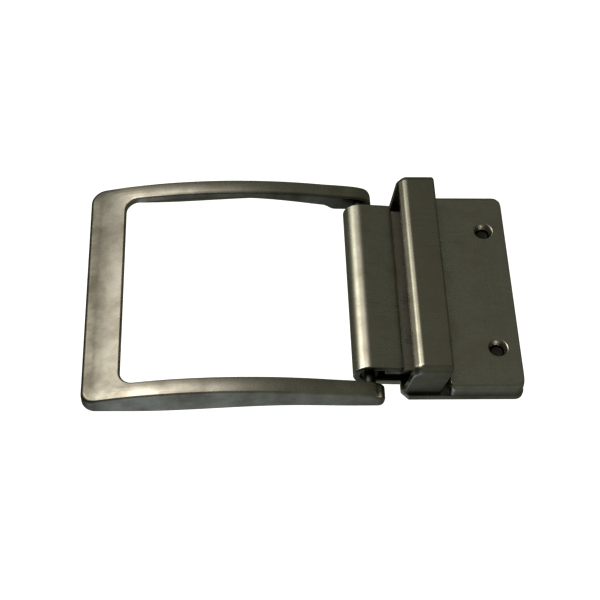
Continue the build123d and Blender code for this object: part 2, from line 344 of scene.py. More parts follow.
# %% [markdown]
# Seen from above the ring is two paths, one round the opening and one round the outside. Each has
# as many points as the other, so that every pair of points is one station of the section. Only the
# far half is worked out, and the near half is its mirror image.

# %% The frame's plan: an inner and an outer path
RAIL_WIDTH = 2.9
BAR_WIDTH = 6.2
CORNER = 2.2
END_ROUND = 1.2
INNER_Y = FRAME_HALF - RAIL_WIDTH
FAN_X = -31.0
NOSE_STATIONS, RAIL_STATIONS, FAN_STATIONS, TURN_STATIONS, BAR_STATIONS = 34, 40, 14, 20, 16


def blend(a, b, share):
    """Points on the straight line from a to b."""
    return np.array(a) * (1 - share) + np.array(b) * share


def frame_half_plan():
    """Inner and outer points of the far half, from the nose to the middle of the end bar.

    The rail's stations lie close together at the nose's tip. The two corners are quarter circles
    about different centres, so the stations fan out a little between the rail and the corner.
    """
    tip = np.linspace(0, 1, NOSE_STATIONS) ** 2
    rail = np.linspace(NOSE_START_X, FAN_X, RAIL_STATIONS)[1:]
    rail_x = np.concatenate([FRAME_RIGHT - tip * (FRAME_RIGHT - NOSE_START_X), rail])
    into = np.clip(rail_x - (FRAME_RIGHT - END_ROUND), 0, END_ROUND)
    draw_in = END_ROUND - np.sqrt(END_ROUND**2 - into**2)
    inner = [np.stack([rail_x, np.full_like(rail_x, INNER_Y)], axis=1)]
    outer = [np.stack([rail_x, FRAME_HALF - draw_in], axis=1)]
    inner_centre = np.array([FRAME_LEFT + BAR_WIDTH + CORNER, INNER_Y - CORNER])
    outer_centre = np.array([FRAME_LEFT + CORNER, FRAME_HALF - CORNER])
    fan = np.linspace(0, 1, FAN_STATIONS)[1:-1, None]
    inner.append(blend([FAN_X, INNER_Y], [inner_centre[0], INNER_Y], fan))
    outer.append(blend([FAN_X, FRAME_HALF], [outer_centre[0], FRAME_HALF], fan))
    turn = np.linspace(0, math.pi / 2, TURN_STATIONS)[:, None]
    spoke = np.concatenate([-np.sin(turn), np.cos(turn)], axis=1)
    inner.append(inner_centre + CORNER * spoke)
    outer.append(outer_centre + CORNER * spoke)
    run = np.linspace(1, 0, BAR_STATIONS)[1:, None]
    bars = ((inner, inner_centre[0] - CORNER, inner_centre), (outer, FRAME_LEFT, outer_centre))
    for side, bar_x, centre in bars:
        side.append(np.concatenate([np.full_like(run, bar_x), centre[1] * run], axis=1))
    return np.concatenate(inner), np.concatenate(outer)


print(f"opening {2 * INNER_Y:.1f} mm across the strap, end bar {BAR_WIDTH:.1f} mm wide")

# %% [markdown]
# The top of the casting is slightly crowned. Over the end bar it also falls away a little towards
# the outer edge, which has a wider rounding there. The inner edge hangs down as a thin lip, which
# is how the back comes to be hollow. In the noses, round the pin, the lip reaches the belly and the
# metal is solid.

# %% The section carried round the ring
CROWN = 0.09
BAR_ROLL = 0.12
OUTER_EDGE = 0.8
BAR_EDGE = 1.2
INNER_EDGE = 0.6
FOOT_EDGE = 0.4
LIP_EDGE = 0.3
TOP_EDGE = 0.4
BAR_FROM, BAR_TO = 37.0, 42.5
CROWN_FADE = 4.0
ROLL_POWER = 3.2
LIP_DEPTH = 1.25
LIP_DEEPER_FROM, LIP_DEEPER_TO = -22.0, -3.0
SOLID_FROM, SOLID_TO = -6.0, -4.0
TOP_ACROSS = (0.0, 0.15, 0.35, 0.55, 0.75, 1.0)
FOOT_ACROSS = 0.86


def frame_shell():
    """Corners of the cast section at each station: a crowned top, an outer wall, a foot and a lip."""
    inner, outer = frame_half_plan()
    mirror = np.array([1.0, -1.0])
    inner = np.concatenate([inner, (inner * mirror)[-2::-1]])
    outer = np.concatenate([outer, (outer * mirror)[-2::-1]])
    middle_x = (inner[:, 0] + outer[:, 0]) / 2
    bar = smooth_step(-middle_x, BAR_FROM, BAR_TO)
    crown = CROWN * np.clip((FRAME_RIGHT - middle_x) / CROWN_FADE, 0, 1)

    def at(w, height):
        """A share w of the way from the inner to the outer path, at the height given by its x."""
        point = inner * (1 - w) + outer * w
        return np.concatenate([point, height(point[:, 0])[:, None]], axis=1)

    def top(w):
        """The arch less a parabola for the crown and a power of w for the end bar's fall."""
        fall = crown * (2 * w - 1) ** 2
        return at(w, lambda x: frame_top(x) - fall - BAR_ROLL * bar * w**ROLL_POWER)

    def lip(x):
        """The inner edge hangs a little below the top, and reaches the belly at the nose."""
        depth = LIP_DEPTH + LIP_DEPTH * smooth_step(x, LIP_DEEPER_FROM, LIP_DEEPER_TO)
        full = frame_top(x) - frame_belly(x)
        solid = smooth_step(x, SOLID_FROM, SOLID_TO)
        hanging = frame_top(x) - crown - (1 - solid) * np.minimum(depth, full)
        return hanging - solid * (full - crown)

    corners = [top(w) for w in TOP_ACROSS]
    corners += [at(1.0, frame_belly), at(FOOT_ACROSS, frame_belly), at(0.0, lip)]
    crest = [LIP_EDGE, TOP_EDGE, TOP_EDGE, TOP_EDGE]
    row = np.array([INNER_EDGE, *crest, OUTER_EDGE, FOOT_EDGE, LIP_EDGE, LIP_EDGE])
    cuts = np.tile(row, (len(bar), 1))
    cuts[:, len(TOP_ACROSS) - 1] += (BAR_EDGE - OUTER_EDGE) * bar
    points, mark = rounded_sections(np.stack(corners, axis=1), cuts)
    # The corners within the top only shape its crown. They aren't edges, so they aren't worn.
    per_corner = ARC_STEPS + 2
    mark[:, per_corner : (len(crest) + 1) * per_corner] = 0
    return points, mark


BORE_ROOM = 0.02
BORE_DEPTH = 4
CUT_PAST = 1


def eye_drill():
    """A plain round tool that opens the far nose for the pin. The near nose stays closed."""
    radius = JOURNAL_RADIUS + BORE_ROOM
    low, high = FRAME_HALF - BORE_DEPTH, FRAME_HALF + CUT_PAST
    outline = [(0, low), (radius, low), (radius, high), (0, high)]
    return make_piece("eye_drill", [turned(outline, (0, 0, PIN_Z), "Y")])


cast_frame = make_piece("cast_frame", [frame_shell()])
finish_mesh(cast_frame, [eye_drill()])

# %% [markdown]
# ## The base sheet
#
# The clamp's base is one sheet. It lies flat under the strap, rolls round the pin and comes back
# over the top as a lip. So its path is the middle line of the sheet in side view, its section is a
# thin rectangle, and only the rectangle's width changes along the way: wide under the clamp, with
# rounded corners at the mouth, and narrower from the plate's cut corners on.

# %% The middle line of the sheet
LIP_REACH = 5.3
LIP_GAP = 0.06
PLATE_START = 5.2
NECK_HALF = 16.3
MOUTH_CORNER = 1.5
CUT_CORNER = 1.2
EDGE = 0.22
HAIR = 0.02
BEND_X = 4.4
FLOOR_X = np.linspace(22, 9, 8)
BARREL_STATIONS = 72


def leave_angle(point, radius, side):
    """Angle on a circle about the pin where the line to a point touches it, above (1) or below (-1)."""
    rise = point[1] - PIN_Z
    return math.atan2(rise, point[0]) + side * math.acos(radius / math.hypot(point[0], rise))


def sheet_path():
    """Middle points (x, z) and outward normals of the base sheet, from mouth to lip.

    The floor's stations lie close together at the mouth's corners, and a hair apart on both sides
    of a place where the width changes at once. A straight rise leads from the floor to the barrel,
    and another from the barrel to the lip, each touching the barrel's circle.
    """
    middle_radius = BARREL_RADIUS - SHEET / 2
    bend = (BEND_X, SHEET / 2)
    lip = (LIP_REACH, LID_TOP + LIP_GAP + SHEET / 2)
    low, high = leave_angle(bend, middle_radius, -1), leave_angle(lip, middle_radius, 1)
    corner = quarter(MOUTH_CORNER, 12)
    floor_x = MOUTH_X - np.concatenate([quarter(EDGE)[::-1], corner[:-1][::-1]])
    cut_x = PLATE_START + np.array([3.0, CUT_CORNER + HAIR, CUT_CORNER, HAIR, 0.0, -HAIR])
    floor_x = np.concatenate([np.sort(floor_x)[::-1], FLOOR_X, cut_x, [bend[0]]])
    floor = np.stack([floor_x, np.full_like(floor_x, SHEET / 2)], axis=1)
    angle = np.linspace(low, high - 2 * math.pi, BARREL_STATIONS)
    ring = middle_radius * np.stack([np.cos(angle), np.sin(angle)], axis=1) + np.array([0, PIN_Z])
    rise = floor[-1] + (ring[0] - floor[-1]) * np.linspace(0, 1, 6)[1:-1, None]
    reach = np.linspace(0, 1, 8)[1:, None]
    tip = ring[-1] + (np.array(lip) - ring[-1]) * reach
    ends = quarter(EDGE)[1:]
    along = unit(np.array(lip) - ring[-1])
    tip = np.concatenate([tip[:-1], np.array(lip) - along * ends[:, None]])
    path = np.concatenate([floor, rise, ring, tip])
    tangent = unit(np.gradient(path, axis=0))
    normal = np.stack([-tangent[:, 1], tangent[:, 0]], axis=1)
    return path, -normal


def plate_half_width(path):
    """The plate's half width by x, with rounded mouth corners and cut corners; the neck's elsewhere."""
    x, z = path.T
    into = np.clip(x - (MOUTH_X - MOUTH_CORNER), 0, MOUTH_CORNER)
    wide = PLATE_HALF - (MOUTH_CORNER - np.sqrt(MOUTH_CORNER**2 - into**2))
    wide = wide - np.clip(PLATE_START + CUT_CORNER - x, 0, CUT_CORNER)
    on_floor = (z < SHEET) & (x >= PLATE_START)
    return np.where(on_floor, wide, NECK_HALF)


def sheet_shell(path, normal, half_width, thickness, edge):
    """A thin rectangle carried along a side-view path, with its two ends drawn in like its edges."""
    run = np.concatenate([[0], np.cumsum(np.linalg.norm(np.diff(path, axis=0), axis=1))])
    gap = np.minimum(run, run[-1] - run)
    inside = np.clip(1 - gap / edge, 0, 1)
    draw_in = edge * (1 - np.sqrt(1 - inside**2))
    half_thick = (thickness / 2 - draw_in)[:, None]
    half = (half_width - draw_in)[:, None]
    skins = [path + normal * half_thick, path - normal * half_thick]

    def row(skin, side):
        """One corner's line along the sheet: a skin's x and z, and the half width to one side."""
        return np.stack([skin[:, 0], side * half[:, 0], skin[:, 1]], axis=1)

    rows = [row(skins[0], 1), row(skins[0], -1), row(skins[1], -1), row(skins[1], 1)]
    corners = np.stack(rows, axis=1)
    points, mark = rounded_sections(corners, np.array([edge]), steps=6)
    return points, np.maximum(mark, inside[:, None])


base_path, base_normal = sheet_path()
base_shell = sheet_shell(base_path, base_normal, plate_half_width(base_path), SHEET, EDGE)

# %% [markdown]
# The grip teeth are pressed up out of the floor near the mouth. Each one is a small wedge with its
# steep side towards the mouth, so that it bites when the strap is pulled.

# %% Grip teeth
TOOTH_COUNT = 5
TOOTH_PITCH = 3.6
TOOTH_X = 23.4
TOOTH_SIDE_VIEW = np.array([[-0.65, -0.1], [0.65, -0.1], [0.02, 1.1], [-0.13, 1.1]])
TOOTH_WIDTH = np.array([-0.8, -0.74, 0.74, 0.8])
TOOTH_GROW = np.array([0.9, 1.0, 1.0, 0.9])
TOOTH_EDGE = 0.08


def tooth_shell(y):
    """A wedge of four corners in side view, carried across its width and smaller at both ends."""
    wedge = TOOTH_SIDE_VIEW[None] * TOOTH_GROW[:, None, None]
    corners = np.empty((len(TOOTH_WIDTH), len(TOOTH_SIDE_VIEW), 3))
    corners[:, :, 0] = TOOTH_X + wedge[..., 0]
    corners[:, :, 1] = y + TOOTH_WIDTH[:, None]
    corners[:, :, 2] = SHEET + wedge[..., 1]
    return rounded_sections(corners, np.array([TOOTH_EDGE]), steps=4, hold=HAIR)


teeth = [tooth_shell((i - (TOOTH_COUNT - 1) / 2) * TOOTH_PITCH) for i in range(TOOTH_COUNT)]
print(f"{len(teeth)} teeth, {TOOTH_PITCH:.1f} mm apart")

# %% [markdown]
# The screws' heads sink into the floor from below, and the keeper's tenons are peened into slots in
# it. Both are real cuts through the sheet, made with cutting tools that are then removed.

# %% Countersinks and tenon slots, cut from the floor
TENON = (7.2, 10.0)
TENON_INSET = 0.12
SLOT_ROOM = 0.04
FOOT_HALF = 18.6
SINK = [(0, -1), (2.2, -1), (2.2, 0.02), (1.26, 1.0), (1.26, 2.0), (0, 2.0)]
CUT_LOW, CUT_HIGH = -1, 3


def box_shell(low, high):
    """A plain box from its lowest to its highest corner."""
    (x0, y0, z0), (x1, y1, z1) = low, high
    plan = [(x0, y0), (x1, y0), (x1, y1), (x0, y1)]
    points = np.array([[(x, y, z) for x, y in plan] for z in (z0, z1)], float)
    return points, np.zeros((2, 4))


def base_cutters():
    """On each side a turned countersink with its hole, and a slot with a little room for the tenon."""
    tools = []
    for side in (1, -1):
        tools.append(make_piece("sink", [turned(SINK, (SCREW_X, side * SCREW_Y, 0), "Z")]))
        inner_y = side * (FOOT_HALF - SHEET - SLOT_ROOM)
        outer_y = side * (FOOT_HALF - TENON_INSET + SLOT_ROOM)
        low = (TENON[0] - SLOT_ROOM, min(inner_y, outer_y), CUT_LOW)
        high = (TENON[1] + SLOT_ROOM, max(inner_y, outer_y), CUT_HIGH)
        tools.append(make_piece("slot", [box_shell(low, high)]))
    return tools


clamp_base = make_piece("rolled_clamp_base", [base_shell])
finish_mesh(clamp_base, base_cutters())
join(clamp_base, finish_mesh(make_piece("teeth", teeth)))

# %% [markdown]
# ## The lid
#
# The lid is the upper jaw. Its roof has turned-down sides like a shallow tray upside down, and a
# plain tail that lies under the base's lip. Both are one channel section carried along X: in the
# tail the sides are simply as short as the sheet is thick.

# %% The channel section of the lid
SHOULDER_X = 12.9
TAIL_HALF = 16.0
SHOULDER_ROUND = 0.7
ROOF_EDGE = 0.85
TAIL_X = [6, 9, SHOULDER_X - HAIR]
ROOF_X = np.linspace(14.5, 23, 10)


def lid_stations():
    """Every x at which the lid's section is set, close together in its rounded corners and ends."""
    corner = LID_END - MOUTH_CORNER + MOUTH_CORNER * np.sin(np.linspace(0, math.pi / 2, 12))
    ends = quarter(EDGE)
    shoulder = SHOULDER_X + SHOULDER_ROUND * (1 - np.cos(np.linspace(0, math.pi / 2, 7)))
    x = np.concatenate([LID_START + ends, TAIL_X, shoulder, ROOF_X, corner, LID_END - ends])
    return np.unique(np.round(x, 4))


def lid_shell():
    """Half width and foot height at each x, then the eight corners of a channel."""
    x = lid_stations()
    roof = x >= SHOULDER_X
    into = np.clip(x - (LID_END - MOUTH_CORNER), 0, MOUTH_CORNER)
    half = LID_HALF - (MOUTH_CORNER - np.sqrt(MOUTH_CORNER**2 - into**2))
    near = np.clip(SHOULDER_X + SHOULDER_ROUND - x, 0, SHOULDER_ROUND)
    half = half - (SHOULDER_ROUND - np.sqrt(SHOULDER_ROUND**2 - near**2))
    half = np.where(roof, half, TAIL_HALF)
    gap = np.minimum(x - LID_START, LID_END - x)
    inside = np.clip(1 - gap / EDGE, 0, 1)
    draw_in = EDGE * (1 - np.sqrt(1 - inside**2))
    top = LID_TOP - draw_in
    under = LID_TOP - SHEET + draw_in
    foot = np.where(roof, LID_FOOT + draw_in, under)
    side = half - draw_in
    wall = np.where(roof, half - SHEET + draw_in, TAIL_HALF - SHEET)
    half_rows = [(side, top), (side, foot), (wall, foot), (wall, under)]
    rows = half_rows + [(-y, z) for y, z in half_rows[::-1]]
    rows = rows[-1:] + rows[:-1]
    corners = np.stack([np.stack([x, y, z], axis=1) for y, z in rows], axis=1)
    cuts = np.full((len(x), len(rows)), EDGE)
    cuts[:, :2] = np.where(roof, ROOF_EDGE, EDGE)[:, None]
    points, mark = rounded_sections(corners, cuts)
    return points, np.maximum(mark, inside[:, None])


# %% [markdown]
# A lid's hole is cut by a turned tool whose outline holds the thread's first turns and flares at
# the top. Below the roof the hole goes on in a pierced collar.

# %% The collars and the threaded holes
COLLAR_WALL = np.array([(1.33, 2.86), (2.1, 2.86), (2.1, 2.1), (1.33, 2.1)])
COLLAR_EDGE = 0.12
COLLAR_STATIONS = 65
HOLE_LOW = [(0, 2.5), (1.34, 2.5)]
HOLE_THREAD = [(1.34, 2.75), (1.22, 2.9), (1.35, 3.1), (1.22, 3.25), (1.24, 3.3)]
HOLE_HIGH = [(1.75, 5.0), (0, 5.0)]
RIM_RADIUS = 1.5
RIM_FLARE = 0.22
HOLE_SIDES = 72


def collar_shell(y):
    """The pierced collar under each hole: a short tube, its wall carried once round the hole."""
    angle = np.linspace(0, 2 * math.pi, COLLAR_STATIONS)
    radius, height = COLLAR_WALL.T
    corners = np.empty((COLLAR_STATIONS, len(COLLAR_WALL), 3))
    corners[:, :, 0] = SCREW_X + np.outer(np.cos(angle), radius)
    corners[:, :, 1] = y + np.outer(np.sin(angle), radius)
    corners[:, :, 2] = height
    return rounded_sections(corners, np.array([COLLAR_EDGE]), steps=4)


def lid_cutter(y):
    """A hole with a dished rim: the outline flares along a quarter circle to the lid's top."""
    flare = np.linspace(0, math.pi / 2, 9)[3:]
    base_z = LID_TOP - RIM_FLARE
    rim = [(RIM_RADIUS + RIM_FLARE * (1 - math.cos(a)), base_z + RIM_FLARE * math.sin(a)) for a in flare]
    outline = HOLE_LOW + HOLE_THREAD + rim + HOLE_HIGH
    return make_piece("rim", [turned(outline, (SCREW_X, y, 0), "Z", HOLE_SIDES)])


clamp_lid = make_piece("clamp_lid_roof", [lid_shell()])
finish_mesh(clamp_lid, [lid_cutter(SCREW_Y), lid_cutter(-SCREW_Y)])
collars = make_piece("collars", [collar_shell(SCREW_Y), collar_shell(-SCREW_Y)])
join(clamp_lid, finish_mesh(collars))

# %% [markdown]
# ## The keeper loop
#
# The keeper is a band bent over the clamp: a leg, a bend, the top bar, a bend and a leg. The legs
# lean outwards a little, so the path in the YZ plane is an open trapezium. The band is wider at its
# feet than at its crown and leans towards the mouth, so its two X edges are straight lines in
# height. Along the top its edge towards the frame is planed off and rounded, and that slope
# carries a long highlight.

# %% The band carried over the clamp
TOP_HALF = 19.47
KEEPER_FOOT = (5.5, 11.6)
KEEPER_CROWN = (6.5, 12.55)
KEEPER_BEND = 0.8
BEND_WEIGHT = 0.72
BEND_SIDE = 0.3
SHOULDER_Z = SHEET
PLANED_ACROSS, PLANED_DEEP = 0.9, 0.85
PLANED_ON_LEGS = 0.15
PLANED_FROM, PLANED_TO = 2.2, 0.9
KEEPER_CUTS = (0.15, 0.52, 0.4, 0.25, 0.12)


def keeper_path():
    """Middle line (y, z) of the band from foot to foot, each bend a conic between its two tangents."""
    foot = np.array([SHEET / 2 - FOOT_HALF, SHOULDER_Z])
    crown = np.array([SHEET / 2 - TOP_HALF, KEEPER_TOP - SHEET / 2])
    up = unit(crown - foot)
    leg = foot + (crown - up * KEEPER_BEND - foot) * np.linspace(0, 1, 9)[:, None]
    t = np.linspace(0, 1, 16)[:, None]
    a, b, c = (1 - t) ** 2, 2 * BEND_WEIGHT * t * (1 - t), t**2
    bend = (a * leg[-1] + b * crown + c * (crown + np.array([KEEPER_BEND, 0]))) / (a + b + c)
    y_bar = np.concatenate([[bend[-1, 0] + HOLD], np.linspace(bend[-1, 0] + BEND_SIDE, 0, 10)])
    bar = np.stack([y_bar, np.full_like(y_bar, crown[1])], axis=1)
    near = np.concatenate([leg[:-1], [leg[-1] - up * HOLD], bend, bar])
    path = np.concatenate([near, (near * np.array([-1, 1]))[-2::-1]])
    tangent = unit(np.gradient(path, axis=0))
    return path, np.stack([-tangent[:, 1], tangent[:, 0]], axis=1)


def keeper_shell():
    """Corners of the band's section: the outer one towards the frame is planed off, all are rounded."""
    path, normal = keeper_path()
    on_top = smooth_step(path[:, 1], KEEPER_TOP - PLANED_FROM, KEEPER_TOP - PLANED_TO)
    planed = (PLANED_ON_LEGS + (1 - PLANED_ON_LEGS) * on_top)[:, None]

    def corner(side, edge, inset=0.0, depth=0.0):
        """Outside (1) or inside (-1) of the band, at its edge towards the frame (0) or the mouth (1)."""
        y, z = (path + side * normal * (SHEET / 2 - depth * planed)).T
        up = (z - SHOULDER_Z) / (KEEPER_TOP - SHOULDER_Z)
        x = KEEPER_FOOT[edge] + (KEEPER_CROWN[edge] - KEEPER_FOOT[edge]) * up + inset * planed[:, 0]
        return np.stack([x, y, z], axis=1)

    slope = [corner(1, 0, depth=PLANED_DEEP), corner(1, 0, inset=PLANED_ACROSS)]
    corners = slope + [corner(1, 1), corner(-1, 1), corner(-1, 0)]
    return rounded_sections(np.stack(corners, axis=1), np.array(KEEPER_CUTS), steps=8)


TENON_FOOT_Z = 0.05
TENON_OVERLAP = 0.4


def tenon_shell(side):
    """The block under a leg that is peened in the base's slot. It stands a little into the leg."""
    inner_y, outer_y = side * (FOOT_HALF - SHEET), side * (FOOT_HALF - TENON_INSET)
    low = (TENON[0], min(inner_y, outer_y), TENON_FOOT_Z)
    return box_shell(low, (TENON[1], max(inner_y, outer_y), SHOULDER_Z + TENON_OVERLAP))


keeper = make_piece("keeper_band", [keeper_shell(), tenon_shell(1), tenon_shell(-1)])
finish_mesh(keeper)

# %% [markdown]
# ## The pin and the screws
#
# The pin is turned, with a small chamfer on each end. A screw's thread is a ridge that climbs as it
# goes round: at angle a and height z the radius is largest where z / pitch - a / (2 pi) is a whole
# number. So one formula on a fine grid makes the whole thread, without a helix to sweep.

# %% The hinge pin
pin_low, pin_high = span("hinge_pin", 1)
PIN_SHOULDER = 16.0
CHAMFER = 0.2
half_outline = [
    (PIN_RADIUS, PIN_SHOULDER - CHAMFER),
    (PIN_RADIUS - CHAMFER, PIN_SHOULDER),
    (JOURNAL_RADIUS, PIN_SHOULDER),
]
pin_outline = [(0, pin_low), (JOURNAL_RADIUS - CHAMFER, pin_low), (JOURNAL_RADIUS, pin_low + CHAMFER)]
pin_outline += [(r, -y) for r, y in half_outline[::-1]] + half_outline
pin_outline += [(JOURNAL_RADIUS, pin_high - CHAMFER), (JOURNAL_RADIUS - CHAMFER, pin_high)]
pin_outline += [(0, pin_high)]
hinge_pin = make_piece("steel_hinge_pin", [turned(pin_outline, (0, 0, PIN_Z), "Y")])
finish_mesh(hinge_pin)

# %% [markdown]
# The two clamp screws pull the jaws together from below. Their tips stop in the collars, well below the
# lid's top, and their colour is kept near black as painted shade, which is why the holes look dark.
# Their slots stand at a chance angle.

# %% The clamp screws
THREAD_PITCH = 0.45
THREAD_DEPTH = 0.2
THREAD_FROM, THREAD_FULL = 1.15, 1.45
HEAD_RADIUS = 2.1
HEAD_DEPTH = 1.0
HEAD_EDGE = (0.08, 0.05)
SHANK_RADIUS = 1.2
SHANK_RINGS = 60
TIP_RADIUS = 0.92
TIP_CHAMFER = 0.25
TIP_PLAIN = 0.2
SCREW_SIDES = 48
SLOT_LOW, SLOT_HIGH = (-3, -0.3, -1), (3, 0.3, 0.53)
SLOT_TURN = math.radians(30)


def screw_shell(centre_y):
    """Head cone, threaded shank and a chamfered tip.

    With u the distance of z / pitch - a / (2 pi) from the nearest whole number, doubled, the
    shank's radius is multiplied by 1 - depth * u / radius.
    """
    low, tip = span("clamp_screw_far", 2)
    shank = np.linspace(HEAD_DEPTH, tip - TIP_CHAMFER, SHANK_RINGS)
    outline = [(0, low), (HEAD_RADIUS - HEAD_EDGE[0], low), (HEAD_RADIUS, low + HEAD_EDGE[1])]
    outline += [(SHANK_RADIUS, HEAD_DEPTH)] + [(SHANK_RADIUS, z) for z in shank]
    outline += [(TIP_RADIUS, tip), (0, tip)]
    points, mark = turned(outline, (0, 0, 0), "Z", SCREW_SIDES)
    angle = np.arctan2(points[..., 1], points[..., 0])
    phase = points[..., 2] / THREAD_PITCH - angle / (2 * math.pi)
    ridge = np.abs(phase - np.round(phase)) * 2
    z = points[..., 2]
    on_shank = smooth_step(z, THREAD_FROM, THREAD_FULL) * (z < tip - TIP_PLAIN)
    shrink = 1 - THREAD_DEPTH * ridge * on_shank / SHANK_RADIUS
    points[..., 0] = points[..., 0] * shrink + SCREW_X
    points[..., 1] = points[..., 1] * shrink + centre_y
    return points, mark


def clamp_screw(name, y):
    """A screw with its slot, cut by a bar turned a little out of line."""
    screw = make_piece(name, [screw_shell(y)])
    bar, mark = box_shell(SLOT_LOW, SLOT_HIGH)
    x, across = bar[..., 0].copy(), bar[..., 1].copy()
    bar[..., 0] = x * math.cos(SLOT_TURN) - across * math.sin(SLOT_TURN) + SCREW_X
    bar[..., 1] = x * math.sin(SLOT_TURN) + across * math.cos(SLOT_TURN) + y
    return finish_mesh(screw, [make_piece("slot", [(bar, mark)])])


screw_far = clamp_screw("countersunk_screw_far", SCREW_Y)
screw_near = clamp_screw("countersunk_screw_near", -SCREW_Y)

# %% [markdown]
# ## Shader sums written as Python
#
# A finish is a sum of small effects, and a sum reads best as a sum. The first class below wraps a
# socket so that +, - and * add the Math nodes. The second one's add() makes any other node.

# %% A socket that can be added and multiplied
class Value:
    """A shader socket that takes part in sums."""

    def __init__(self, graph, socket):
        self.graph = graph
        self.socket = socket

    def _sum(self, operation, a, b):
        return self.graph.add("ShaderNodeMath", {"operation": operation}, {0: a, 1: b})

    def __add__(self, other):
        return self._sum("ADD", self, other)

    def __sub__(self, other):
        return self._sum("SUBTRACT", self, other)

    def __mul__(self, other):
        return self._sum("MULTIPLY", self, other)

    __radd__ = __add__


class Graph:
    """A material's or a world's nodes."""

    def __init__(self, owner):
        owner.use_nodes = True
        self.tree = owner.node_tree
        self.tree.nodes.clear()

    def add(self, kind, settings=None, inputs=None, output=0):
        """Adds a node: its settings first, then its sockets, each a number, a colour or a Value."""
        node = self.tree.nodes.new(kind)
        for key, value in (settings or {}).items():
            setattr(node, key, value)
        for key, value in (inputs or {}).items():
            if isinstance(value, Value):
                self.tree.links.new(value.socket, node.inputs[key])
            else:
                node.inputs[key].default_value = value
        return Value(self, node.outputs[output]) if node.outputs else node

    def mix(self, amount, a, b):
        """A colour between a and b."""
        settings = {"data_type": "RGBA"}
        return self.add("ShaderNodeMix", settings, {0: amount, 6: a, 7: b}, 2)

    def stretch(self, vector, scale):
        """The vector times a scale for each axis."""
        return self.add("ShaderNodeMapping", {}, {"Vector": vector, "Scale": scale})

    def noise(self, vector, scale, detail, roughness=0.55):
        """Soft noise, about 0.5 on average, with scale waves in a metre."""
        sockets = {"Vector": vector, "Scale": scale, "Detail": detail, "Roughness": roughness}
        return self.add("ShaderNodeTexNoise", {}, sockets)

    def band(self, value, low, high):
        """The value carried from low..high to 0..1, and clamped."""
        return self.add("ShaderNodeMapRange", {"clamp": True}, {0: value, 1: low, 2: high})

    def surface(self, base_colour, roughness, others):
        """A principled surface as the material's output."""
        sockets = {"Base Color": base_colour, "Roughness": roughness, **others}
        shader = self.add("ShaderNodeBsdfPrincipled", {}, sockets)
        self.add("ShaderNodeOutputMaterial", {}, {"Surface": shader})


# %% [markdown]
# ## Where the shade is painted
#
# Shade is painted into the colour. It is darker low down, in corners, recesses and gaps, and on the
# outer edge of the end bar. Each piece stores that painted shade as one number per point, worked out
# from the point's place in millimetres.

# %% Painted shade as a number on every point
MM_IN_M = 1000


def paint_shade(piece, formula):
    """Stores formula(x, y, z), in mm from the pin, as the painted shade attribute that the finishes
    darken their colour by.
    """
    mesh = piece.data
    flat = np.empty(3 * len(mesh.vertices))
    mesh.vertices.foreach_get("co", flat)
    x, y, z = (flat.reshape(-1, 3) * MM_IN_M).T
    # The number is painted shade: the finishes darken the colour by it.
    painted_shade = np.clip(formula(x - PIN_X, y, z), 0, 1)
    layer = mesh.attributes.new("painted_shade", "FLOAT", "POINT")
    layer.data.foreach_set("value", painted_shade.astype(np.float32))
    print(f"{piece.name}: grime {painted_shade.min():.2f} to {painted_shade.max():.2f}, {painted_shade.mean():.2f} on average")


# %% [markdown]
# The casting carries the most painted shade. Each term below is a soft step along X, Y or Z.

# %% The frame's painted shade
BAR_PAINTED_SHADE = 1.15
BAR_PAINTED_SHADE_X = (39.4, 45.8)
NOSE_PAINTED_SHADE = 0.35
NOSE_PAINTED_SHADE_INSIDE = 0.5
NOSE_PAINTED_SHADE_X = (-7.0, -1.0)
NOSE_PAINTED_SHADE_Z = (-4.9, -3.8)
INSIDE_FROM = -INNER_Y - 1.2
LIP_PAINTED_SHADE = 0.85
LIP_PAINTED_SHADE_X = (-38.0, -31.0)
LIP_PAINTED_SHADE_Y = (-INNER_Y - 0.7, -INNER_Y - 0.25)


def frame_painted_shade(x, y, z):
    """Painted shade: rises across the end bar to its outer edge, and lies in the noses and on the far
    inner edge.
    """
    bar = smooth_step(-x, *BAR_PAINTED_SHADE_X) * BAR_PAINTED_SHADE
    inside = smooth_step(-np.abs(y), INSIDE_FROM, -INNER_Y)
    nose = smooth_step(x, *NOSE_PAINTED_SHADE_X) * smooth_step(-z, *NOSE_PAINTED_SHADE_Z)
    inner_edge = smooth_step(-y, *LIP_PAINTED_SHADE_Y) * (y > 0) * smooth_step(x, *LIP_PAINTED_SHADE_X)
    return bar + nose * (NOSE_PAINTED_SHADE + NOSE_PAINTED_SHADE_INSIDE * inside) + LIP_PAINTED_SHADE * inner_edge


paint_shade(cast_frame, frame_painted_shade)

# %% [markdown]
# The clamp gets less painted shade. It lies low down, where the sheet was cut and where one piece meets
# another, and it covers the whole pin.

# %% Painted shade on the clamp, the keeper and the pin
FOOT_PAINTED_SHADE = 0.95
FOOT_PAINTED_SHADE_Z = (-6.0, -1.2)
PLANED_PAINTED_SHADE = 0.9
PLANED_PAINTED_SHADE_X = (-KEEPER_CROWN[0] - 0.78, -KEEPER_CROWN[0] - 0.38)
PLANED_PAINTED_SHADE_Z = (7.5, 8.6)
SIDE_PAINTED_SHADE = 0.85
SIDE_PAINTED_SHADE_Z = (-3.3, -1.4)
TAIL_PAINTED_SHADE = 0.9
TAIL_PAINTED_SHADE_X = 5.4
NECK_PAINTED_SHADE = 0.9
NECK_MARGIN = 0.12
RIM_PAINTED_SHADE = 0.5
RIM_MARGIN = 0.4


